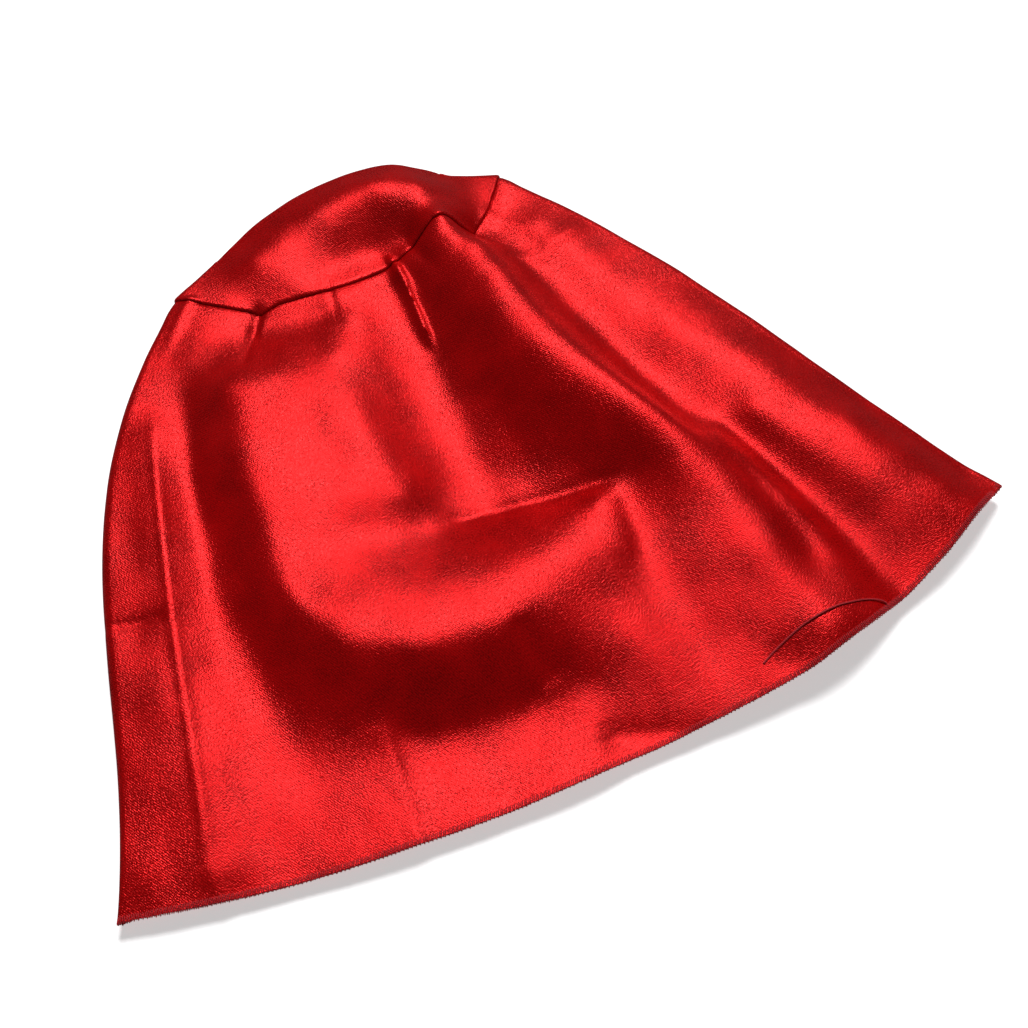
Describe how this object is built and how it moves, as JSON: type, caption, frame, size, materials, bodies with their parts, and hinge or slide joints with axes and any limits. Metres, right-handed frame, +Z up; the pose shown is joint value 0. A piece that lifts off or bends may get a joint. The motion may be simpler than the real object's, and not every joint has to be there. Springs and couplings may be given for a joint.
{
  "type": "superhero cape",
  "caption": "Small satin superhero cape with a double-layer yoke, flared skirt and overlocked hem, laid flat with its fronts folded under its back.",
  "frame": {"origin": "bottom centre of the folded cape's box, on the table that it lies on, without the loose thread", "axes": "+X across the cape, towards the wearer's right-hand side as it lies back up; +Y from hem to neck; +Z up from the table"},
  "size_m": [0.196, 0.152, 0.0147],
  "materials": {
    "satin": "bright red polyester satin, shiny face outwards and a duller reverse",
    "thread": "dark red spun polyester sewing and overlock thread",
    "hook_tape": "red nylon hook tape, stiff and matt",
    "loop_tape": "red nylon loop tape, brushed and matt"
  },
  "bodies": {
    "back": {"skirt_back": "satin", "yoke_back_outer": "satin", "yoke_back_facing": "satin", "hem_overlock_back": "thread", "yoke_seam_thread_back": "thread", "neck_seam_thread_back": "thread", "loose_thread": "thread"},
    "left_front": {"skirt_left_front": "satin", "yoke_left_outer": "satin", "yoke_left_facing": "satin", "hem_overlock_left": "thread", "front_edge_overlock_left": "thread", "yoke_seam_thread_left": "thread", "neck_seam_thread_left": "thread", "hook_patch": "hook_tape", "hook_patch_stitching": "thread"},
    "right_front": {"skirt_right_front": "satin", "yoke_right_outer": "satin", "yoke_right_facing": "satin", "hem_overlock_right": "thread", "front_edge_overlock_right": "thread", "yoke_seam_thread_right": "thread", "neck_seam_thread_right": "thread", "loop_patch": "loop_tape", "loop_patch_stitching": "thread"}
  },
  "joints": [
    {"name": "left_front_open", "type": "hinge", "parent": "back", "child": "left_front", "pos_m": [-0.093, -0.06, 0.0009], "axis": [0.458, 0.889, 0], "range_deg": [0, 180]},
    {"name": "right_front_open", "type": "hinge", "parent": "back", "child": "right_front", "pos_m": [0.093, -0.06, 0.0009], "axis": [0.458, -0.889, 0], "range_deg": [0, 180]}
  ]
}
